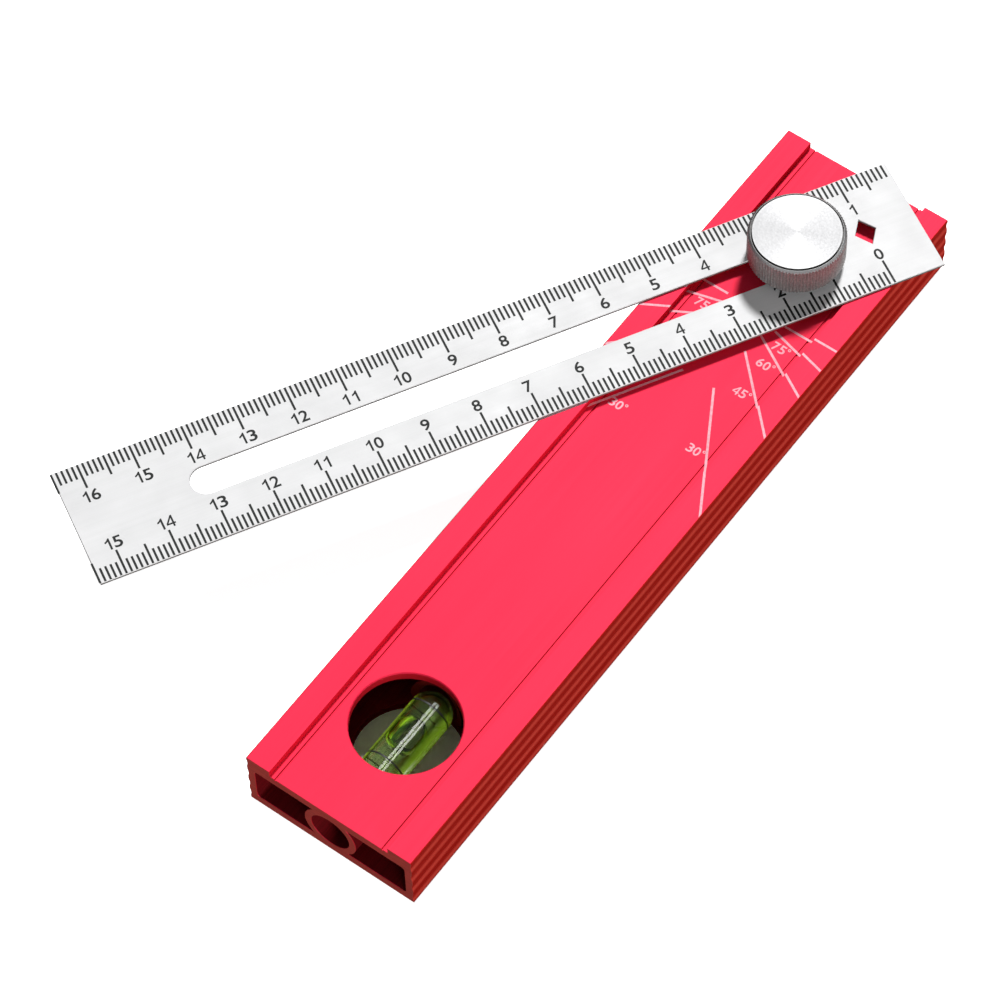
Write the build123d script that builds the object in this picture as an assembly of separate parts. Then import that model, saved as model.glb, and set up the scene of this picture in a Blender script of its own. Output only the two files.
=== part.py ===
from build123d import *

import math
import os

# Combination square: a fluted aluminium stock with a bubble level at one end, and a slotted steel blade
# that turns and slides on a clamped pivot at the other. Millimetres, +Z up. The origin is on the pivot
# axis, on the face that the stock rests on, and +Y runs along the stock towards its pivot end.

# Stock: one extruded length
STOCK_LENGTH = 164.0
STOCK_WIDTH = 35.5
STOCK_HEIGHT = 14.0
PIVOT_TO_FAR_END = 23.4
RECESS_WIDTH = 25.4
RECESS_DEPTH = 1.5
RELIEF_OFFSET = 11.5
RELIEF_WIDTH = 0.35
RELIEF_DEPTH = 0.3
FLUTES = 4
FLUTE_DEPTH = 0.2
CREST_FLAT = 0.5
CORNER_RADIUS = 0.25
SIDE_WALL = 1.6
BOTTOM_WALL = 2.0
TOP_WALL = 2.0
CHANNEL_CORNER = 0.7
BORE_RADIUS = 4.1
TUBE_WALL = 1.4
WINDOW_RADIUS = 10.0
WINDOW_TO_NEAR_END = 22.0
WINDOW_EDGE_BREAK = 0.2

# Blade
BLADE_LENGTH = 165.0
BLADE_WIDTH = 25.0
BLADE_THICKNESS = 0.5
BLADE_EDGE_BREAK = 0.1
BLADE_ANGLE = 30.0
PIVOT_TO_SQUARE_END = 24.1
SLOT_WIDTH = 6.0
SLOT_START = 20.5
SLOT_END = 143.0
DIAMOND_TO_SQUARE_END = 10.0
DIAMOND_LENGTH = 4.2
DIAMOND_WIDTH = 5.9

# Clamp at the pivot
STUD_RADIUS = 2.0
STUD_TIP_HEIGHT = 3.0
STUD_DEPTH_IN_KNOB = 4.5
STUD_TIP_CHAMFER = 0.4
NUT_LENGTH = 12.0
NUT_CHAMFER = 0.5
BUSH_FLANGE_RADIUS = 6.0
WASHER_RADIUS = 6.5
WASHER_THICKNESS = 0.8
KNOB_RADIUS = 9.1
KNOB_FACE_RADIUS = 8.25
KNOB_HEIGHT = 6.6
KNOB_FACE_STEP = 0.15
KNOB_GROOVE_WIDTH = 0.25
KNOB_GROOVE_DEPTH = 0.3
KNOB_TOP_CHAMFER = 0.5
KNOB_FOOT_CHAMFER = 0.35
KNURL_TEETH = 92
KNURL_DEPTH = 0.28
BOSS_RADIUS = 5.0
BOSS_HEIGHT = 0.7
SPIGOT_RADIUS = 3.0
SPIGOT_LIP = 0.35

# Bubble level
VIAL_LENGTH = 27.7
VIAL_WALL = 0.8
VIAL_TIP_PAST_CENTRE = 10.7
PLUG_FLANGE = 1.0
PLUG_SPIGOT = 2.0
MARKER_SPACING = 12.8
MARKER_WIDTH = 0.3
MARKER_DEPTH = 0.15
BUBBLE_LENGTH = 7.6
BUBBLE_RADIUS = 2.5
BUBBLE_LIFT = 1.4

# Clearances
FACE_GAP = 0.05
RUNNING_GAP = 0.08
SEAT_GAP = 0.05

# Places that follow from the sizes above
FAR_END = PIVOT_TO_FAR_END
NEAR_END = FAR_END - STOCK_LENGTH
FLOOR = STOCK_HEIGHT - RECESS_DEPTH
CHANNEL_TOP = FLOOR - TOP_WALL
CHANNEL_HEIGHT = CHANNEL_TOP - BOTTOM_WALL
BORE_HEIGHT = BOTTOM_WALL + CHANNEL_HEIGHT / 2
WINDOW_Y = NEAR_END + WINDOW_TO_NEAR_END
BLADE_BOTTOM = STOCK_HEIGHT + FACE_GAP
BLADE_TOP = BLADE_BOTTOM + BLADE_THICKNESS
WASHER_BOTTOM = BLADE_TOP + FACE_GAP
WASHER_TOP = WASHER_BOTTOM + WASHER_THICKNESS
KNOB_FOOT = WASHER_TOP + FACE_GAP + BOSS_HEIGHT
KNOB_TOP = KNOB_FOOT + KNOB_HEIGHT
VIAL_TIP = WINDOW_Y + VIAL_TIP_PAST_CENTRE
VIAL_MOUTH = VIAL_TIP - VIAL_LENGTH
VIAL_RADIUS = BORE_RADIUS - SEAT_GAP
BLADE_TURN = Rot(0, 0, -90 - BLADE_ANGLE)


def across_stock(y):
    """A drawing plane across the stock at y: its x is the row's X and its y is the row's Z."""
    return Plane(origin=(0, y, 0), x_dir=(1, 0, 0), z_dir=(0, -1, 0))


def turned(points):
    """A solid turned about Z from the half outline in points, given as (radius, height)."""
    outline = make_face(Polyline(*points, close=True))
    return revolve(Plane.XZ * outline, Axis.Z)


def flute():
    """One flute of the stock's edge: a round valley between two round shoulders, like a wave."""
    half = (STOCK_HEIGHT / FLUTES - CREST_FLAT) / 2
    high = (-FLUTE_DEPTH / 2, half / 2)
    low = (-FLUTE_DEPTH / 2, -half / 2)
    upper = TangentArc((0, half), high, tangent=(0, -1))
    valley = ThreePointArc(high, (-FLUTE_DEPTH, 0), low)
    lower = TangentArc((0, -half), low, tangent=(0, 1))
    return make_face([upper, valley, lower, Line((0, -half), (0, half))])


def stock_section():
    outer = Rectangle(STOCK_WIDTH, STOCK_HEIGHT, align=(Align.CENTER, Align.MIN))
    outer = fillet(outer.vertices(), CORNER_RADIUS)
    recess = Pos(0, FLOOR) * Rectangle(RECESS_WIDTH, RECESS_DEPTH, align=(Align.CENTER, Align.MIN))
    relief = Rectangle(RELIEF_WIDTH, RELIEF_DEPTH, align=(Align.CENTER, Align.MAX))
    outer -= recess
    for side in (-1, 1):
        outer -= Pos(side * RELIEF_OFFSET, FLOOR) * relief
    pitch = STOCK_HEIGHT / FLUTES
    for index in range(FLUTES):
        right = Pos(STOCK_WIDTH / 2, (index + 0.5) * pitch) * flute()
        outer -= right
        outer -= mirror(right, Plane.YZ)
    channels = RectangleRounded(STOCK_WIDTH - 2 * SIDE_WALL, CHANNEL_HEIGHT, CHANNEL_CORNER)
    channels -= Circle(BORE_RADIUS + TUBE_WALL)
    outer -= Pos(0, BORE_HEIGHT) * channels
    outer -= Pos(0, BORE_HEIGHT) * Circle(BORE_RADIUS)
    return outer


def stock():
    body = extrude(across_stock(FAR_END) * stock_section(), STOCK_LENGTH)
    upright = (Align.CENTER, Align.CENTER, Align.MIN)
    window = Cylinder(WINDOW_RADIUS, STOCK_HEIGHT, align=upright)
    rim = Cone(WINDOW_RADIUS, WINDOW_RADIUS + WINDOW_EDGE_BREAK, WINDOW_EDGE_BREAK, align=upright)
    body -= Pos(0, WINDOW_Y, 0) * window
    body -= Pos(0, WINDOW_Y, FLOOR - WINDOW_EDGE_BREAK) * rim
    body -= Pos(0, WINDOW_Y, WINDOW_EDGE_BREAK) * Rot(180, 0, 0) * rim
    stud_hole = Cylinder(STUD_RADIUS + RUNNING_GAP, FLOOR - BORE_HEIGHT, align=upright)
    return body - Pos(0, 0, BORE_HEIGHT) * stud_hole


def blade():
    """The blade, drawn along +X from its square end with the pivot at the origin, then turned in place."""
    middle = BLADE_LENGTH / 2 - PIVOT_TO_SQUARE_END
    sheet = Pos(middle, 0) * Rectangle(BLADE_LENGTH, BLADE_WIDTH)
    slot_middle = (SLOT_START + SLOT_END) / 2 - PIVOT_TO_SQUARE_END
    sheet -= Pos(slot_middle, 0) * SlotOverall(SLOT_END - SLOT_START, SLOT_WIDTH)
    half_length = DIAMOND_LENGTH / 2
    half_width = DIAMOND_WIDTH / 2
    corners = [(half_length, 0), (0, half_width), (-half_length, 0), (0, -half_width)]
    diamond = make_face(Polyline(*corners, close=True))
    sheet -= Pos(DIAMOND_TO_SQUARE_END - PIVOT_TO_SQUARE_END, 0) * diamond
    plate = extrude(sheet, BLADE_THICKNESS)
    plate = chamfer(plate.faces().sort_by(Axis.Z)[-1].edges(), BLADE_EDGE_BREAK)
    return BLADE_TURN * Pos(0, 0, BLADE_BOTTOM) * plate


def slot_bush():
    """A shouldered bush: its flange fills the recess under the blade and its neck fills the slot's width."""
    bore = STUD_RADIUS + RUNNING_GAP
    neck = SLOT_WIDTH / 2 - FACE_GAP
    flange_bottom = FLOOR + FACE_GAP
    flange_top = STOCK_HEIGHT
    neck_top = BLADE_TOP - FACE_GAP
    return turned([
        (bore, flange_bottom),
        (BUSH_FLANGE_RADIUS, flange_bottom),
        (BUSH_FLANGE_RADIUS, flange_top),
        (neck, flange_top),
        (neck, neck_top),
        (bore, neck_top),
    ])


def barrel_nut():
    """A cross dowel in the stock's bore, tapped through for the stud."""
    barrel = Cylinder(VIAL_RADIUS, NUT_LENGTH, rotation=(90, 0, 0))
    barrel = chamfer(barrel.edges(), NUT_CHAMFER)
    return Pos(0, 0, BORE_HEIGHT) * (barrel - Cylinder(STUD_RADIUS + RUNNING_GAP, STOCK_HEIGHT))


def clamp_stud():
    top = KNOB_FOOT + STUD_DEPTH_IN_KNOB
    return turned([
        (0, STUD_TIP_HEIGHT),
        (STUD_RADIUS - STUD_TIP_CHAMFER, STUD_TIP_HEIGHT),
        (STUD_RADIUS, STUD_TIP_HEIGHT + STUD_TIP_CHAMFER),
        (STUD_RADIUS, top),
        (0, top),
    ])


def clamp_washer():
    """The washer hangs on the knob's spigot, whose flared lip lies in the washer's countersunk underside."""
    hole = SPIGOT_RADIUS + RUNNING_GAP
    sink = 2 * SPIGOT_LIP
    return turned([
        (hole + sink, WASHER_BOTTOM),
        (WASHER_RADIUS, WASHER_BOTTOM),
        (WASHER_RADIUS, WASHER_TOP),
        (hole, WASHER_TOP),
        (hole, WASHER_BOTTOM + SPIGOT_LIP + RUNNING_GAP),
    ])


def knurled_bar(height):
    """An upright bar with straight V-shaped knurling round it."""
    points = []
    for tooth in range(2 * KNURL_TEETH):
        radius = KNOB_RADIUS - KNURL_DEPTH * (tooth % 2)
        angle = math.pi * tooth / KNURL_TEETH
        points.append((radius * math.cos(angle), radius * math.sin(angle)))
    return extrude(make_face(Polyline(*points, close=True)), height)


def clamp_knob():
    """The knurled head, its boss and its spigot, with a blind hole that the stud is fixed in."""
    shoulder = KNOB_TOP - KNOB_FACE_STEP
    groove_floor = shoulder - KNOB_GROOVE_DEPTH
    groove_outside = KNOB_FACE_RADIUS + KNOB_GROOVE_WIDTH
    spigot_foot = WASHER_BOTTOM + FACE_GAP
    envelope = turned([
        (0, KNOB_FOOT),
        (KNOB_RADIUS - KNOB_FOOT_CHAMFER, KNOB_FOOT),
        (KNOB_RADIUS, KNOB_FOOT + KNOB_FOOT_CHAMFER),
        (KNOB_RADIUS, shoulder - KNOB_TOP_CHAMFER),
        (KNOB_RADIUS - KNOB_TOP_CHAMFER, shoulder),
        (groove_outside, shoulder),
        (groove_outside, groove_floor),
        (KNOB_FACE_RADIUS, groove_floor),
        (KNOB_FACE_RADIUS, KNOB_TOP),
        (0, KNOB_TOP),
    ])
    head = envelope & Pos(0, 0, KNOB_FOOT) * knurled_bar(KNOB_HEIGHT)
    foot = turned([
        (0, spigot_foot),
        (SPIGOT_RADIUS + SPIGOT_LIP, spigot_foot),
        (SPIGOT_RADIUS, spigot_foot + SPIGOT_LIP),
        (SPIGOT_RADIUS, WASHER_TOP + FACE_GAP),
        (BOSS_RADIUS, WASHER_TOP + FACE_GAP),
        (BOSS_RADIUS, KNOB_FOOT),
        (0, KNOB_FOOT),
    ])
    upright = (Align.CENTER, Align.CENTER, Align.MIN)
    hole = Cylinder(STUD_RADIUS, KNOB_FOOT + STUD_DEPTH_IN_KNOB - spigot_foot, align=upright)
    return head + foot - Pos(0, 0, spigot_foot) * hole


def round_ended(radius, mouth, tip):
    """A solid bar along the stock's bore: straight from its flat mouth, then a half ball to its tip."""
    shoulder = tip - radius
    bar = Cylinder(radius, shoulder - mouth, align=(Align.CENTER, Align.CENTER, Align.MAX))
    bar += Sphere(radius)
    return Pos(0, shoulder, BORE_HEIGHT) * Rot(-90, 0, 0) * bar


def marker_rings():
    """Two narrow black rings round the vial, one each side of the middle of the window."""
    band = Circle(VIAL_RADIUS) - Circle(VIAL_RADIUS - MARKER_DEPTH)
    rings = []
    for side in (-1, 1):
        y = WINDOW_Y + (side * MARKER_SPACING + MARKER_WIDTH) / 2
        rings.append(extrude(across_stock(y) * Pos(0, BORE_HEIGHT) * band, MARKER_WIDTH))
    return Compound(children=rings)


def vial_cavity():
    return round_ended(VIAL_RADIUS - VIAL_WALL, VIAL_MOUTH + PLUG_FLANGE, VIAL_TIP - VIAL_WALL)


def vial_end_plug():
    flange = Cylinder(VIAL_RADIUS, PLUG_FLANGE, align=(Align.CENTER, Align.CENTER, Align.MAX))
    spigot = Cylinder(VIAL_RADIUS - VIAL_WALL, PLUG_FLANGE + PLUG_SPIGOT,
                      align=(Align.CENTER, Align.CENTER, Align.MAX))
    return Pos(0, VIAL_MOUTH, BORE_HEIGHT) * Rot(90, 0, 0) * (flange + spigot)


def vial_barrel():
    outside = round_ended(VIAL_RADIUS, VIAL_MOUTH + PLUG_FLANGE, VIAL_TIP)
    return outside - vial_cavity() - marker_rings()


def vial_fluid():
    """The spirit, with the bubble as a round-ended hollow in its top."""
    half = BUBBLE_LENGTH / 2 - BUBBLE_RADIUS
    bubble = Cylinder(BUBBLE_RADIUS, 2 * half, rotation=(90, 0, 0))
    for end in (-half, half):
        bubble += Pos(0, end, 0) * Sphere(BUBBLE_RADIUS)
    return vial_cavity() - vial_end_plug() - Pos(0, WINDOW_Y, BORE_HEIGHT + BUBBLE_LIFT) * bubble


NODES = {
    "stock": stock,
    "blade": blade,
    "slot_bush": slot_bush,
    "barrel_nut": barrel_nut,
    "clamp_stud": clamp_stud,
    "clamp_washer": clamp_washer,
    "clamp_knob": clamp_knob,
    "vial_barrel": vial_barrel,
    "vial_fluid": vial_fluid,
    "vial_end_plug": vial_end_plug,
    "vial_marker_rings": marker_rings,
}

os.makedirs("parts", exist_ok=True)
for name, make in NODES.items():
    export_step(make(), f"parts/{name}.step")
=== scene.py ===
import math

import bmesh
import bpy
from mathutils import Matrix, Vector


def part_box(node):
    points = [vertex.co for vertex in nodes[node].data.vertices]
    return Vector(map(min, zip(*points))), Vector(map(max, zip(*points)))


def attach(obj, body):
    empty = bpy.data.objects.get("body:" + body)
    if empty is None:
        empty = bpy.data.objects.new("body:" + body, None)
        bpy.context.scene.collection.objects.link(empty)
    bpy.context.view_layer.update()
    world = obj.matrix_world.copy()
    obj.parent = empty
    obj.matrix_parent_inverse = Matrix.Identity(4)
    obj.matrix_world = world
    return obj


# Combination square: the looks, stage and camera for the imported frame. Named lengths are millimetres in the
# part's own frame: the origin on the pivot axis, +Y along the stock towards its pivot end, +Z up.

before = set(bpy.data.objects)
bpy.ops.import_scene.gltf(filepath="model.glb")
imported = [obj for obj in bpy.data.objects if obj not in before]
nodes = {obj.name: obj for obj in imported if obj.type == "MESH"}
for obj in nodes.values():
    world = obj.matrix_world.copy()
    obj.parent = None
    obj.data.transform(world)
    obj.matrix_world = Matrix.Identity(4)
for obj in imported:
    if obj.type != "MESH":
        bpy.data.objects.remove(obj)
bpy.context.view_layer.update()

MM = 0.001

# Stock: its box, in metres, then its raised strips, recess, outer sides, sawn ends and channels
STOCK_LOW, STOCK_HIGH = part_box("stock")
STRIP_Z = STOCK_HIGH.z / MM
RECESS_DEPTH = 1.5
RECESS_Z = STRIP_Z - RECESS_DEPTH
HALF_RECESS = 12.7
HALF_STOCK = STOCK_HIGH.x / MM
STOCK_CORNER = 0.25
OUTER_SIDE = 17.2
TOP_CREST = 0.9
SAWN_END_DEPTH = 0.1
CHANNEL_FOOT = 0.1
CHANNEL_TOP = 10.6
CHANNEL_REACH = 16.3
STOCK_NEAR_END = STOCK_LOW.y / MM
STOCK_FAR_END = STOCK_HIGH.y / MM

# Window, vial and knob. The fades and the painted glow's reach are across the vial from its middle, in metres
WINDOW_Y = -118.6
VIAL_Z = 6.25
BUBBLE_HALF_LENGTH = 3.8
BUBBLE_RADIUS = 2.5
PAINTED_CRESCENT_FADE = (1.0 * MM, 1.6 * MM)
PAINTED_GLOW_FADE = (2.6 * MM, 3.2 * MM)
PAINTED_GLOW_REACH = 3.2 * MM
KNOB_GROOVE = (8.2, 8.55)

# Blade, drawn with +X from its square end to its far end and then turned to its angle from the stock
BLADE_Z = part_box("blade")[1].z / MM
BLADE_LENGTH = 165
BLADE_WIDTH = 25.0
PIVOT_TO_SQUARE_END = 24.1
ZERO_MARK_TO_SQUARE_END = 10
BLADE_ANGLE = math.radians(30)
BLADE_HEADING = -(math.pi / 2 + BLADE_ANGLE)
BLADE_TURN = Matrix.Rotation(BLADE_HEADING, 4, "Z")

# Printed marks. Tick lengths are by the step in millimetres that the mark lies on, coarsest first
MARK_HEIGHT = 0.012
EDGE_INSET = 0.14
TICK_WIDTH = 0.42
TICK_LENGTHS = {10: 5.4, 5: 4.5, 1: 3.05}
DIGIT_HEIGHT = 2.45
TOP_DIGITS_FROM_EDGE = 7.2
BOTTOM_DIGITS_FROM_EDGE = 7.0

# Characters, in heights of a digit
DIGIT_WIDTH = 0.66
DIGIT_ADVANCE = 0.75
DEGREE_ADVANCE = 0.46
DEGREE_SIZE = 0.32
GLYPH_BOLDNESS = 0.016
# The digits that are drawn as outlines: a 1 with a flag, and a 4 with its hole
DRAWN_DIGITS = {
    "1": [[(0.06, 0.0), (0.215, 0.0), (0.215, 1.0), (0.12, 1.0), (0.02, 0.88), (-0.09, 0.79),
           (-0.19, 0.745), (-0.19, 0.60), (-0.06, 0.655), (0.06, 0.74)]],
    "4": [[(0.09, 0.0), (0.23, 0.0), (0.23, 0.22), (0.34, 0.22), (0.34, 0.35), (0.23, 0.35),
           (0.23, 1.0), (0.11, 1.0), (-0.35, 0.36), (-0.35, 0.22), (0.09, 0.22)],
          [(0.09, 0.35), (-0.20, 0.35), (0.09, 0.76)]],
}

# Angle lines on the stock, each lying under the blade's edge at that angle
ANGLE_LINE_OFFSET = BLADE_WIDTH / 2
ANGLE_LINE_WIDTH = 0.46
LABEL_HEIGHT = 1.9
# Angle from the stock in degrees: (how far from the middle its line starts, its label's centre or None)
ANGLE_LINES = {
    30: (3.4, (8.5, -43.8)),
    45: (3.4, (8.2, -28.9)),
    60: (3.4, (8.2, -21.5)),
    75: (5.4, (8.5, -17.0)),
    90: (6.3, None),
}

# Camera: where it looks, from where, and its lens
AIM = (-13.17, -73.23, 14.0)
VIEW_AZIMUTH = math.radians(38.30)
VIEW_ELEVATION = math.radians(57.81)
VIEW_ROLL = math.radians(-2.285)
VIEW_DISTANCE = 846.5
LENS = 172.07
SENSOR = 36.0

# Stage. SKY_FULL_AT is how far up, as a unit direction's Z, the sky reaches its overhead strength
FLOOR_RADIUS = 12000
FLOOR_GAP = 0.02
FLOOR_GLOW = 0.90
SKY_AT_HORIZON = 0.08
SKY_OVERHEAD = 0.17
SKY_FULL_AT = 0.9
STRIP_LIGHT_WIDTH = 140
STRIP_LIGHT_LENGTH = 1200
STRIP_LIGHT_HEIGHT = 600
STRIP_LIGHT_POWER = 3.2
STRIP_LIGHT_X = {"left_strip": 48, "right_strip": 272}


# ---------------------------------------------------------------- node helpers

class Surface:
    """A node material with one Principled shader, and short calls for the nodes that feed it."""

    def __init__(self, name):
        self.material = bpy.data.materials.new(name)
        self.material.use_nodes = True
        self.tree = self.material.node_tree
        self.shader = self.tree.nodes["Principled BSDF"]

    def set(self, **values):
        """Plain values on the shader's own sockets, given by socket name with _ for a space."""
        for name, value in values.items():
            self.shader.inputs[name.replace("_", " ")].default_value = value
        return self

    def node(self, kind, **properties):
        made = self.tree.nodes.new(kind)
        for name, value in properties.items():
            setattr(made, name, value)
        return made

    def wire(self, source, target):
        self.tree.links.new(source, target)

    def feed(self, socket, value):
        """Wires a socket to that input, or gives it a plain value."""
        if isinstance(value, bpy.types.NodeSocket):
            self.wire(value, socket)
        else:
            socket.default_value = value

    def place(self, turn=0.0, stretch=(1, 1, 1)):
        """Object coordinates in metres, turned about Z and then scaled along each axis."""
        coordinates = self.node("ShaderNodeTexCoord").outputs["Object"]
        turned = self.node("ShaderNodeMapping")
        turned.inputs["Rotation"].default_value = (0, 0, turn)
        self.wire(coordinates, turned.inputs["Vector"])
        scaled = self.node("ShaderNodeMapping")
        scaled.inputs["Scale"].default_value = stretch
        self.wire(turned.outputs["Vector"], scaled.inputs["Vector"])
        return scaled.outputs["Vector"]

    def noise(self, vector, scale=1.0, detail=2.0):
        made = self.node("ShaderNodeTexNoise")
        self.wire(vector, made.inputs["Vector"])
        made.inputs["Scale"].default_value = scale
        made.inputs["Detail"].default_value = detail
        return made.outputs["Fac"]

    def math(self, operation, first, second=0.0):
        made = self.node("ShaderNodeMath", operation=operation)
        self.feed(made.inputs[0], first)
        self.feed(made.inputs[1], second)
        return made.outputs[0]

    def inverse(self, mask):
        """1 where the mask is 0, and 0 where it is 1."""
        return self.math("SUBTRACT", 1.0, mask)

    def spread(self, value, low, high, out_low=0.0, out_high=1.0):
        """value from low to high, mapped onto out_low to out_high and held there."""
        made = self.node("ShaderNodeMapRange", clamp=True)
        self.feed(made.inputs["Value"], value)
        made.inputs["From Min"].default_value = low
        made.inputs["From Max"].default_value = high
        made.inputs["To Min"].default_value = out_low
        made.inputs["To Max"].default_value = out_high
        return made.outputs["Result"]

    def mix(self, factor, first, second):
        """Colour first where factor is 0, and second where it is 1."""
        made = self.node("ShaderNodeMix", data_type="RGBA")
        self.feed(made.inputs["Factor"], factor)
        for socket, value in ((made.inputs[6], first), (made.inputs[7], second)):
            self.feed(socket, value if isinstance(value, bpy.types.NodeSocket) else (*value, 1))
        return made.outputs[2]

    def parts(self, vector):
        """The vector's X, Y and Z."""
        made = self.node("ShaderNodeSeparateXYZ")
        self.wire(vector, made.inputs["Vector"])
        return made.outputs

    def normal(self):
        return self.node("ShaderNodeTexCoord").outputs["Normal"]

    def facing(self, axis, limit=0.6):
        """1 on faces that look along that axis, either way, and 0 elsewhere."""
        along = self.math("ABSOLUTE", self.parts(self.normal())[axis])
        return self.math("GREATER_THAN", along, limit)

    def between(self, value, low, high):
        """1 where the value lies between those two, in millimetres, and 0 elsewhere."""
        above = self.math("GREATER_THAN", value, low * MM)
        return self.math("MULTIPLY", above, self.math("LESS_THAN", value, high * MM))

    def within(self, low, high):
        """1 inside the box between those corners, in the part's millimetres, and 0 outside."""
        inside = 1.0
        for value, least, most in zip(self.parts(self.place()), low, high):
            inside = self.math("MULTIPLY", self.between(value, least, most), inside)
        return inside

    def radius(self):
        """Distance from the node's own Z axis, in metres."""
        x, y, _ = self.parts(self.place())
        squares = self.math("ADD", self.math("MULTIPLY", x, x), self.math("MULTIPLY", y, y))
        return self.math("SQRT", squares)

    def bump(self, height, distance, strength, before=None, rounding=None):
        """A bumped normal, on top of the one before or of edges rounded to that radius."""
        made = self.node("ShaderNodeBump")
        made.inputs["Strength"].default_value = strength
        made.inputs["Distance"].default_value = distance
        self.wire(height, made.inputs["Height"])
        if before is not None:
            self.wire(before, made.inputs["Normal"])
        elif rounding:
            edge = self.node("ShaderNodeBevel", samples=6)
            edge.inputs["Radius"].default_value = rounding
            self.wire(edge.outputs["Normal"], made.inputs["Normal"])
        return made.outputs["Normal"]

    def finish(self, colour=None, roughness=None, normal=None):
        for name, source in (("Base Color", colour), ("Roughness", roughness), ("Normal", normal)):
            if source is not None:
                self.wire(source, self.shader.inputs[name])
        return self.material


# ---------------------------------------------------------------- materials

def stock_zones(made):
    """Masks for the stock's upright walls, its outer sides, its sawn ends and its inside."""
    first_cut = STOCK_NEAR_END + SAWN_END_DEPTH
    last_cut = STOCK_FAR_END - SAWN_END_DEPTH
    x, y, _ = made.parts(made.place())
    upright = made.inverse(made.facing(2, limit=0.5))
    outside = made.inverse(made.between(x, -OUTER_SIDE, OUTER_SIDE))
    side = made.math("MULTIPLY", made.facing(0, limit=0.25), outside)
    cut_end = made.math("MULTIPLY", made.facing(1), made.inverse(made.between(y, first_cut, last_cut)))
    inside = made.within((-CHANNEL_REACH, first_cut, CHANNEL_FOOT), (CHANNEL_REACH, last_cut, CHANNEL_TOP))
    return upright, side, cut_end, inside


def painted_side_shading(made, drawn):
    """Red of the outer sides with painted light and shade: lighter where a flute looks up, darker where it
    looks down and under the top corner.
    """
    z = made.parts(made.place())[2]
    # Painted light and shade: the colour follows how far each face looks up, and the top corner is kept dark.
    lifted = made.spread(made.parts(made.normal())[2], 0.0, 0.35)
    below_corner = made.math("LESS_THAN", z, (STRIP_Z - TOP_CREST) * MM)
    light = made.math("MULTIPLY", lifted, below_corner)
    painted_flute_shading = made.mix(light, (0.46, 0.010, 0.005), (1.00, 0.120, 0.085))
    return made.mix(made.spread(drawn, 0.3, 0.7, 0.0, 0.25), painted_flute_shading, (0.60, 0.030, 0.020))


def red_anodised():
    """Satin red anodising on a drawn extrusion: lines along it, browner ends, and painted shade: darker
    upright faces, sides lighter where flutes look up and darker where they look down, a near-black inside.
    """
    made = Surface("red_anodised").set(Metallic=0.20, IOR=1.5, Specular_IOR_Level=0.12)
    etch = made.noise(made.place(), scale=9000, detail=1)
    drawn = made.noise(made.place(stretch=(5200, 26, 5200)), detail=3)
    cloud = made.noise(made.place(stretch=(60, 18, 60)), detail=2)
    sawn = made.noise(made.place(stretch=(220, 30, 5200)), detail=3)
    upright, side, cut_end, inside = stock_zones(made)
    red = made.mix(made.spread(cloud, 0.35, 0.65), (0.93, 0.022, 0.070), (0.91, 0.026, 0.076))
    # Painted shade: upright faces are coloured darker than the top, as they lie in shade.
    painted_wall_shade = made.mix(made.spread(drawn, 0.3, 0.7), (0.62, 0.006, 0.022), (0.72, 0.010, 0.030))
    cut = made.mix(made.spread(sawn, 0.3, 0.7), (0.46, 0.062, 0.050), (0.62, 0.088, 0.070))
    # Painted shade: the channels inside are coloured near black, as they lie in shade.
    painted_inside_shade = made.mix(made.spread(drawn, 0.3, 0.7), (0.13, 0.003, 0.005), (0.20, 0.005, 0.009))
    colour = made.mix(upright, red, painted_wall_shade)
    colour = made.mix(side, colour, painted_side_shading(made, drawn))
    colour = made.mix(cut_end, colour, cut)
    colour = made.mix(inside, colour, painted_inside_shade)
    rougher_ends = made.math("MULTIPLY", cut_end, 0.10)
    rough = made.math("ADD", made.spread(drawn, 0.2, 0.8, 0.51, 0.59), rougher_ends)
    normal = made.bump(etch, 0.004 * MM, 0.5, rounding=0.12 * MM)
    normal = made.bump(drawn, 0.004 * MM, 0.6, before=normal)
    return made.finish(colour, rough, normal)


def blade_steel():
    """Satin stainless sheet, brushed along the blade, with faint cross scuffs, and its shear-cut edges
    painted dark as shade.
    """
    made = Surface("blade_steel").set(Metallic=0.40, IOR=1.5, Anisotropic=0.3)
    turn = -BLADE_HEADING
    brushed = made.noise(made.place(turn, (35, 6500, 6500)), detail=4)
    long_streaks = made.noise(made.place(turn, (8, 900, 900)), detail=2)
    scuffs = made.noise(made.place(turn + 0.5, (90, 3800, 3800)), detail=2)
    mottle = made.noise(made.place(), scale=140, detail=3)
    steel = made.mix(made.spread(brushed, 0.3, 0.7), (0.76, 0.76, 0.765), (0.80, 0.80, 0.805))
    steel = made.mix(made.spread(long_streaks, 0.35, 0.75, 0.0, 0.3), steel, (0.70, 0.705, 0.70))
    # Painted shade: the edges are coloured dark, as they lie in shade.
    painted_edge_shade = made.mix(made.spread(mottle, 0.3, 0.7), (0.16, 0.155, 0.15), (0.26, 0.25, 0.24))
    colour = made.mix(made.facing(2), painted_edge_shade, steel)
    rough = made.math("ADD", made.spread(brushed, 0.25, 0.75, 0.68, 0.78),
                      made.spread(mottle, 0.3, 0.7, -0.03, 0.04))
    normal = made.bump(brushed, 0.003 * MM, 0.5)
    normal = made.bump(made.spread(scuffs, 0.62, 0.72), 0.002 * MM, 0.4, before=normal)
    return made.finish(colour, rough, normal)


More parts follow.
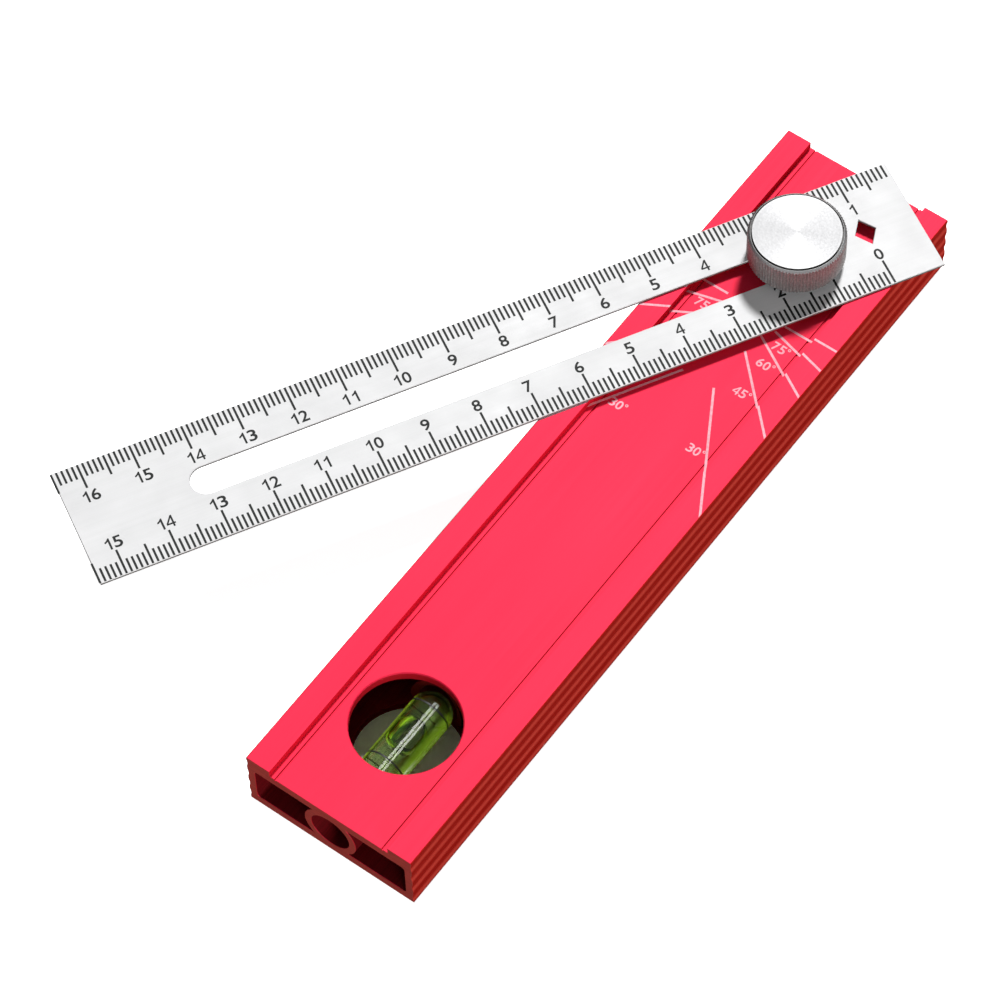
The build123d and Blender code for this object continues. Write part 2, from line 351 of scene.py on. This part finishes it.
def knob_metal():
    """Turned aluminium: concentric tool marks on the face, a groove round it painted dark as shade, mottled
    knurling.
    """
    made = Surface("knob_metal").set(Metallic=0.85, IOR=1.5, Anisotropic=0.7)
    radius = made.radius()
    ring_at = made.node("ShaderNodeCombineXYZ")
    made.wire(radius, ring_at.inputs["X"])
    rings = made.noise(ring_at.outputs["Vector"], scale=9000, detail=3)
    broad_rings = made.noise(ring_at.outputs["Vector"], scale=1400, detail=2)
    grain = made.noise(made.place(), scale=2600, detail=2)
    face = made.facing(2)
    turned = made.mix(made.spread(broad_rings, 0.35, 0.65), (0.415, 0.415, 0.42), (0.44, 0.44, 0.445))
    knurled = made.mix(made.spread(grain, 0.35, 0.65), (0.36, 0.355, 0.35), (0.54, 0.53, 0.52))
    # Painted shade: the groove round the face is coloured near black.
    painted_groove_shade = made.mix(made.spread(grain, 0.35, 0.65), (0.10, 0.10, 0.10), (0.16, 0.155, 0.15))
    colour = made.mix(made.between(radius, *KNOB_GROOVE), made.mix(face, knurled, turned), painted_groove_shade)
    rough = made.math("ADD", made.spread(rings, 0.3, 0.7, 0.54, 0.59),
                      made.spread(grain, 0.3, 0.7, -0.02, 0.03))
    height = made.math("MULTIPLY", rings, face)
    normal = made.bump(height, 0.004 * MM, 0.6, rounding=0.06 * MM)
    tangent = made.node("ShaderNodeTangent", direction_type="RADIAL", axis="Z")
    made.wire(tangent.outputs["Tangent"], made.shader.inputs["Tangent"])
    return made.finish(colour, rough, normal)


def turned_metal(name, dark, light, roughness):
    """Small turned fittings: a slight colour bloom and fine tool marks."""
    made = Surface(name).set(Metallic=1.0, IOR=1.5)
    bloom = made.noise(made.place(), scale=420, detail=3)
    marks = made.noise(made.place(stretch=(300, 300, 9000)), detail=3)
    colour = made.mix(made.spread(bloom, 0.3, 0.7), dark, light)
    rough = made.spread(marks, 0.3, 0.7, roughness - 0.05, roughness + 0.07)
    return made.finish(colour, rough, made.bump(marks, 0.004 * MM, 0.5, rounding=0.05 * MM))


def clear_acrylic():
    """Clear acrylic with a faint yellow-green tint and flow lines along it."""
    made = Surface("vial_clear").set(Transmission_Weight=1.0, IOR=1.49)
    flow = made.noise(made.place(stretch=(500, 60, 500)), detail=2)
    tint = made.mix(made.spread(flow, 0.3, 0.7), (0.88, 0.93, 0.80), (0.93, 0.96, 0.86))
    return made.finish(tint, made.spread(flow, 0.3, 0.7, 0.0, 0.01), made.bump(flow, 0.003 * MM, 0.2))


def painted_bubble_crescents(made, x, y):
    """Mask for the painted shade: a dark crescent at each side of the bubble."""
    along = made.math("SUBTRACT", y, WINDOW_Y * MM)
    across = made.math("ABSOLUTE", x)
    reach = made.math("ADD", made.math("POWER", made.math("DIVIDE", along, BUBBLE_HALF_LENGTH * MM), 2),
                      made.math("POWER", made.math("DIVIDE", across, BUBBLE_RADIUS * MM), 2))
    rim = made.math("MULTIPLY", made.spread(reach, 0.50, 0.70), made.spread(reach, 1.0, 1.15, 1.0, 0.0))
    return made.math("MULTIPLY", rim, made.spread(across, *PAINTED_CRESCENT_FADE))


def green_spirit():
    """Dyed spirit with a painted glow along both sides of the vial, brighter towards -X, and painted dark
    crescents beside the bubble.
    """
    made = Surface("vial_green").set(Transmission_Weight=0.92, IOR=1.36)
    depth = made.noise(made.place(stretch=(200, 60, 200)), detail=1)
    x, y, _ = made.parts(made.place())
    crescent = painted_bubble_crescents(made, x, y)
    tint = made.mix(made.spread(depth, 0.3, 0.7), (0.28, 0.42, 0.10), (0.36, 0.50, 0.14))
    # Painted light: the spirit glows along its sides, brighter towards -X, though it is no lamp.
    painted_glow_minus_x_bias = made.spread(x, -PAINTED_GLOW_REACH, PAINTED_GLOW_REACH, 1.0, 0.0)
    glow = made.mix(painted_glow_minus_x_bias, (0.13, 0.21, 0.01), (0.36, 0.52, 0.03))
    painted_glow_sides = made.spread(made.math("ABSOLUTE", x), *PAINTED_GLOW_FADE, 0.0, 0.9)
    painted_glow_strength = made.math("MULTIPLY", painted_glow_sides, made.inverse(crescent))
    made.wire(glow, made.shader.inputs["Emission Color"])
    made.wire(painted_glow_strength, made.shader.inputs["Emission Strength"])
    # Painted shade: the fluid is coloured near black in crescents beside the bubble.
    colour = made.mix(crescent, tint, (0.010, 0.028, 0.008))
    return made.finish(colour, made.spread(depth, 0.3, 0.7, 0.0, 0.02))


def black_plastic():
    """Black plastic with a fine grain."""
    made = Surface("black_plastic").set(IOR=1.45)
    grain = made.noise(made.place(), scale=3000, detail=2)
    colour = made.mix(grain, (0.012, 0.012, 0.012), (0.028, 0.028, 0.028))
    return made.finish(colour, made.spread(grain, 0.3, 0.7, 0.40, 0.55), made.bump(grain, 0.01 * MM, 0.4))


def printed_ink(name, dense, thin, roughness):
    """Filled marks: a matt ink that is a little uneven along each stroke."""
    made = Surface(name).set(IOR=1.45, Specular_IOR_Level=0.3)
    patch = made.noise(made.place(), scale=2200, detail=3)
    colour = made.mix(made.spread(patch, 0.4, 0.75), dense, thin)
    return made.finish(colour, made.spread(patch, 0.3, 0.7, roughness - 0.08, roughness + 0.08),
                       made.bump(patch, 0.006 * MM, 0.4))


SLOT_MATERIALS = {
    "red_anodised": red_anodised(),
    "blade_steel": blade_steel(),
    "knob_metal": knob_metal(),
    "plated_steel": turned_metal("plated_steel", (0.60, 0.60, 0.60), (0.72, 0.72, 0.74), 0.26),
    "brass": turned_metal("brass", (0.62, 0.42, 0.16), (0.74, 0.54, 0.24), 0.28),
    "vial_clear": clear_acrylic(),
    "vial_green": green_spirit(),
    "black_plastic": black_plastic(),
}
DARK_INK = printed_ink("dark_ink", (0.006, 0.008, 0.008), (0.020, 0.024, 0.022), 0.60)
PALE_INK = printed_ink("pale_ink", (1.00, 0.52, 0.60), (0.96, 0.36, 0.45), 0.55)

for cad_node in nodes.values():
    for index, material in enumerate(cad_node.data.materials):
        cad_node.data.materials[index] = SLOT_MATERIALS[material.name.split(".")[0]]


# ---------------------------------------------------------------- printed marks

def outline_slab(shapes, corners, z):
    """Adds a slab, as thick as the marks, over the outline through those corners, with its foot at z."""
    low = [shapes.verts.new((x * MM, y * MM, z * MM)) for x, y in corners]
    high = [shapes.verts.new((x * MM, y * MM, (z + MARK_HEIGHT) * MM)) for x, y in corners]
    shapes.faces.new(high)
    shapes.faces.new(low[::-1])
    for index in range(len(corners)):
        following = (index + 1) % len(corners)
        shapes.faces.new((low[index], low[following], high[following], high[index]))


def curve_mesh(curve):
    """The curve as a mesh, one unit thick."""
    curve.extrude = 0.5
    writer = bpy.data.objects.new("glyph", curve)
    bpy.context.scene.collection.objects.link(writer)
    evaluated = writer.evaluated_get(bpy.context.evaluated_depsgraph_get())
    mesh = bpy.data.meshes.new_from_object(evaluated)
    bpy.data.objects.remove(writer)
    return mesh


def drawn_glyph(outlines):
    """A digit from its outlines, standing on the X axis."""
    curve = bpy.data.curves.new("glyph", "CURVE")
    curve.dimensions = "2D"
    curve.fill_mode = "BOTH"
    for outline in outlines:
        spline = curve.splines.new("POLY")
        spline.points.add(len(outline) - 1)
        spline.use_cyclic_u = True
        for point, (x, y) in zip(spline.points, outline):
            point.co = (x, y, 0, 1)
    mesh = curve_mesh(curve)
    mesh.transform(Matrix.Translation((0, 0, 0.5)))
    return mesh


def font_glyph(character):
    """A character of the built-in sans, made bolder, with its middle at X 0 and its top one unit up."""
    curve = bpy.data.curves.new("glyph", "FONT")
    curve.body = character
    curve.offset = GLYPH_BOLDNESS
    curve.resolution_u = 6
    mesh = curve_mesh(curve)
    across = [vertex.co.x for vertex in mesh.vertices]
    up = [vertex.co.y for vertex in mesh.vertices]
    left, right = min(across), max(across)
    foot, top = min(up), max(up)
    width, height = (DEGREE_SIZE, DEGREE_SIZE) if character == "°" else (DIGIT_WIDTH, 1.0)
    fit = Matrix.Diagonal((width / (right - left), height / (top - foot), 1, 1))
    to_origin = Matrix.Translation((-(left + right) / 2, -top, 0.5))
    mesh.transform(Matrix.Translation((0, 1, 0)) @ fit @ to_origin)
    return mesh


GLYPHS = {character: font_glyph(character) for character in "02356789°"}
GLYPHS.update({character: drawn_glyph(outlines) for character, outlines in DRAWN_DIGITS.items()})


def add_text(shapes, text, height, centre, z, turn=0.0):
    """Adds upright sans characters of that height, centred on a point and turned anticlockwise."""
    advances = [DEGREE_ADVANCE if character == "°" else DIGIT_ADVANCE for character in text]
    spot = (Matrix.Translation((*centre, z)) @ Matrix.Rotation(turn, 4, "Z")
            @ Matrix.Diagonal((height, height, MARK_HEIGHT, 1)))
    pen = -sum(advances) / 2
    for character, advance in zip(text, advances):
        mesh = GLYPHS[character].copy()
        mesh.transform(Matrix.Scale(MM, 4) @ spot @ Matrix.Translation((pen + advance / 2, -0.5, 0)))
        shapes.from_mesh(mesh)
        bpy.data.meshes.remove(mesh)
        pen += advance


def mark_piece(name, shapes, ink, body):
    """Makes a piece of the shapes, which rides on that body."""
    bmesh.ops.remove_doubles(shapes, verts=shapes.verts, dist=1e-7)
    bmesh.ops.recalc_face_normals(shapes, faces=shapes.faces)
    mesh = bpy.data.meshes.new(name)
    shapes.to_mesh(mesh)
    shapes.free()
    mesh.materials.append(ink)
    piece = bpy.data.objects.new(name, mesh)
    bpy.context.scene.collection.objects.link(piece)
    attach(piece, body)


def tick_length(millimetre):
    """The length for the coarsest step that this mark lies on."""
    return next(length for step, length in TICK_LENGTHS.items() if millimetre % step == 0)


def blade_scale(name, edge, zero, first, last, digits_from_edge):
    """A millimetre scale along one edge of the blade, numbered in centimetres.

    edge is -1 for the edge at -Y of the drawn blade and 1 for the other. zero is its zero's X there.
    """
    ticks = bmesh.new()
    digits = bmesh.new()
    rim = edge * (BLADE_WIDTH / 2 - EDGE_INSET)
    for millimetre in range(first, last + 1):
        x = zero + millimetre
        inner = edge * (BLADE_WIDTH / 2 - tick_length(millimetre))
        low, high = sorted((rim, inner))
        left = x - TICK_WIDTH / 2
        right = x + TICK_WIDTH / 2
        outline_slab(ticks, [(left, low), (right, low), (right, high), (left, high)], BLADE_Z)
        if millimetre % 10 == 0:
            centre = (x, edge * (BLADE_WIDTH / 2 - digits_from_edge))
            add_text(digits, str(millimetre // 10), DIGIT_HEIGHT, centre, BLADE_Z, turn=math.pi)
    for part, shapes in (("ticks", ticks), ("numbers", digits)):
        shapes.transform(BLADE_TURN)
        mark_piece(f"{name}_{part}", shapes, DARK_INK, "blade")


def angle_line(shapes, degrees, inner, side):
    """The line that the blade's edge lies on at that angle, in pieces between the stock's steps."""
    angle = math.radians(degrees)
    half = ANGLE_LINE_WIDTH / 2

    def corner(x, shift, square=False):
        """The point at that X on the line, shifted to one side of its middle, cut square or along Y."""
        offset = ANGLE_LINE_OFFSET + shift
        cut = ANGLE_LINE_OFFSET if square else offset
        along = (cut * math.cos(angle) + x) / math.sin(angle)
        across = along * math.sin(angle) - offset * math.cos(angle)
        return (side * across, -offset * math.sin(angle) - along * math.cos(angle))

    outer = HALF_STOCK - STOCK_CORNER
    for start, end, z in ((inner, HALF_RECESS, RECESS_Z), (HALF_RECESS, outer, STRIP_Z)):
        square = start == inner
        outline_slab(shapes, [corner(start, -half, square), corner(end, -half),
                              corner(end, half), corner(start, half, square)], z)


def protractor(name, side):
    """The angle lines and their labels on one half of the stock: side is 1 for +X and -1 for -X."""
    lines = bmesh.new()
    labels = bmesh.new()
    for degrees, (inner, label) in ANGLE_LINES.items():
        angle_line(lines, degrees, inner, side)
        if label:
            add_text(labels, f"{degrees}°", LABEL_HEIGHT, (side * label[0], label[1]), RECESS_Z)
    mark_piece(f"{name}_angle_lines", lines, PALE_INK, "stock")
    mark_piece(f"{name}_angle_labels", labels, PALE_INK, "stock")


square_end = -PIVOT_TO_SQUARE_END
blade_scale("top_scale", -1, square_end, 1, BLADE_LENGTH, TOP_DIGITS_FROM_EDGE)
blade_scale("bottom_scale", 1, square_end + ZERO_MARK_TO_SQUARE_END, 0,
            BLADE_LENGTH - ZERO_MARK_TO_SQUARE_END, BOTTOM_DIGITS_FROM_EDGE)
protractor("right", 1)
protractor("left", -1)


# ---------------------------------------------------------------- stage, lights and camera

def camera():
    """Looks at the aim, from the viewing azimuth, turned from -Y towards +X, and elevation."""
    data = bpy.data.cameras.new("camera")
    data.lens = LENS
    data.sensor_width = SENSOR
    data.clip_start = 0.01
    data.clip_end = 100
    seen_by = bpy.data.objects.new("camera", data)
    bpy.context.scene.collection.objects.link(seen_by)
    back = Vector((math.sin(VIEW_AZIMUTH) * math.cos(VIEW_ELEVATION),
                   -math.cos(VIEW_AZIMUTH) * math.cos(VIEW_ELEVATION), math.sin(VIEW_ELEVATION)))
    level = (-back).to_track_quat("-Z", "Y").to_matrix().to_4x4()
    spot = Vector(AIM) * MM + back * (VIEW_DISTANCE * MM)
    seen_by.matrix_world = Matrix.Translation(spot) @ level @ Matrix.Rotation(VIEW_ROLL, 4, "Z")
    bpy.context.scene.camera = seen_by


def floor():
    """A wide floor that shows pale, also through glass, but bounces little light onto the object."""
    shapes = bmesh.new()
    bmesh.ops.create_circle(shapes, cap_ends=True, segments=96, radius=FLOOR_RADIUS * MM)
    mesh = bpy.data.meshes.new("floor")
    shapes.to_mesh(mesh)
    shapes.free()
    made = Surface("floor").set(Roughness=0.9, Specular_IOR_Level=0.1)
    light_path = made.node("ShaderNodeLightPath").outputs
    seen = made.math("MAXIMUM", light_path["Is Camera Ray"], light_path["Is Transmission Ray"])
    under = made.within((-HALF_STOCK, STOCK_NEAR_END, -1), (HALF_STOCK, STOCK_FAR_END, 1))
    glow = made.math("MULTIPLY", seen, made.inverse(under))
    made.shader.inputs["Emission Color"].default_value = (1, 1, 1, 1)
    made.wire(made.math("MULTIPLY", glow, FLOOR_GLOW), made.shader.inputs["Emission Strength"])
    mesh.materials.append(made.finish(made.mix(seen, (0.10, 0.07, 0.06), (0.93, 0.93, 0.93))))
    ground = bpy.data.objects.new("floor", mesh)
    ground.location.z = STOCK_LOW.z - FLOOR_GAP * MM
    bpy.context.scene.collection.objects.link(ground)


def sky():
    """Plain light from above that is weaker towards the horizon."""
    world = bpy.data.worlds.new("sky")
    world.use_nodes = True
    bpy.context.scene.world = world
    tree = world.node_tree
    background = tree.nodes["Background"]
    direction = tree.nodes.new("ShaderNodeTexCoord").outputs["Generated"]
    split = tree.nodes.new("ShaderNodeSeparateXYZ")
    tree.links.new(direction, split.inputs["Vector"])
    ramp = tree.nodes.new("ShaderNodeMapRange")
    tree.links.new(split.outputs["Z"], ramp.inputs["Value"])
    ramp.inputs["From Min"].default_value = 0.0
    ramp.inputs["From Max"].default_value = SKY_FULL_AT
    ramp.inputs["To Min"].default_value = SKY_AT_HORIZON
    ramp.inputs["To Max"].default_value = SKY_OVERHEAD
    tree.links.new(ramp.outputs["Result"], background.inputs["Strength"])
    background.inputs["Color"].default_value = (1, 1, 1, 1)


def lamp(name, azimuth, elevation, strength, spread, receivers):
    """A soft light from far off, lighting the receivers. Angles are in degrees, azimuth from +X to +Y."""
    data = bpy.data.lights.new(name, "SUN")
    data.energy = strength
    data.angle = math.radians(spread)
    made = bpy.data.objects.new(name, data)
    turn = math.radians(azimuth)
    rise = math.radians(elevation)
    towards = Vector((math.cos(turn) * math.cos(rise), math.sin(turn) * math.cos(rise), math.sin(rise)))
    made.rotation_mode = "QUATERNION"
    made.rotation_quaternion = towards.to_track_quat("Z", "Y")
    bpy.context.scene.collection.objects.link(made)
    made.light_linking.receiver_collection = receivers


def strip_light(name, x, receivers):
    """A long strip light above the vial, lighting only the receivers, for a streak along the vial."""
    data = bpy.data.lights.new(name, "AREA")
    data.shape = "RECTANGLE"
    data.size = STRIP_LIGHT_WIDTH * MM
    data.size_y = STRIP_LIGHT_LENGTH * MM
    data.energy = STRIP_LIGHT_POWER
    made = bpy.data.objects.new(name, data)
    made.location = Vector((x, WINDOW_Y, VIAL_Z + STRIP_LIGHT_HEIGHT)) * MM
    bpy.context.scene.collection.objects.link(made)
    made.light_linking.receiver_collection = receivers


def receiver_sets():
    """Two sets for light linking: the vial's parts alone, and everything but them."""
    only_vial = bpy.data.collections.new("vial_parts")
    all_but_vial = bpy.data.collections.new("all_but_vial")
    for part in ("vial_barrel", "vial_fluid", "vial_end_plug"):
        only_vial.objects.link(nodes[part])
        all_but_vial.objects.link(nodes[part])
    for member in all_but_vial.collection_objects:
        member.light_linking.link_state = "EXCLUDE"
    return only_vial, all_but_vial


camera()
floor()
sky()
only_vial, all_but_vial = receiver_sets()
lamp("key", azimuth=108, elevation=52, strength=3.1, spread=10, receivers=all_but_vial)
lamp("fill", azimuth=-32, elevation=7, strength=2.4, spread=24, receivers=all_but_vial)
for strip_name, strip_x in STRIP_LIGHT_X.items():
    strip_light(strip_name, strip_x, only_vial)
bpy.context.scene.view_settings.view_transform = "Standard"
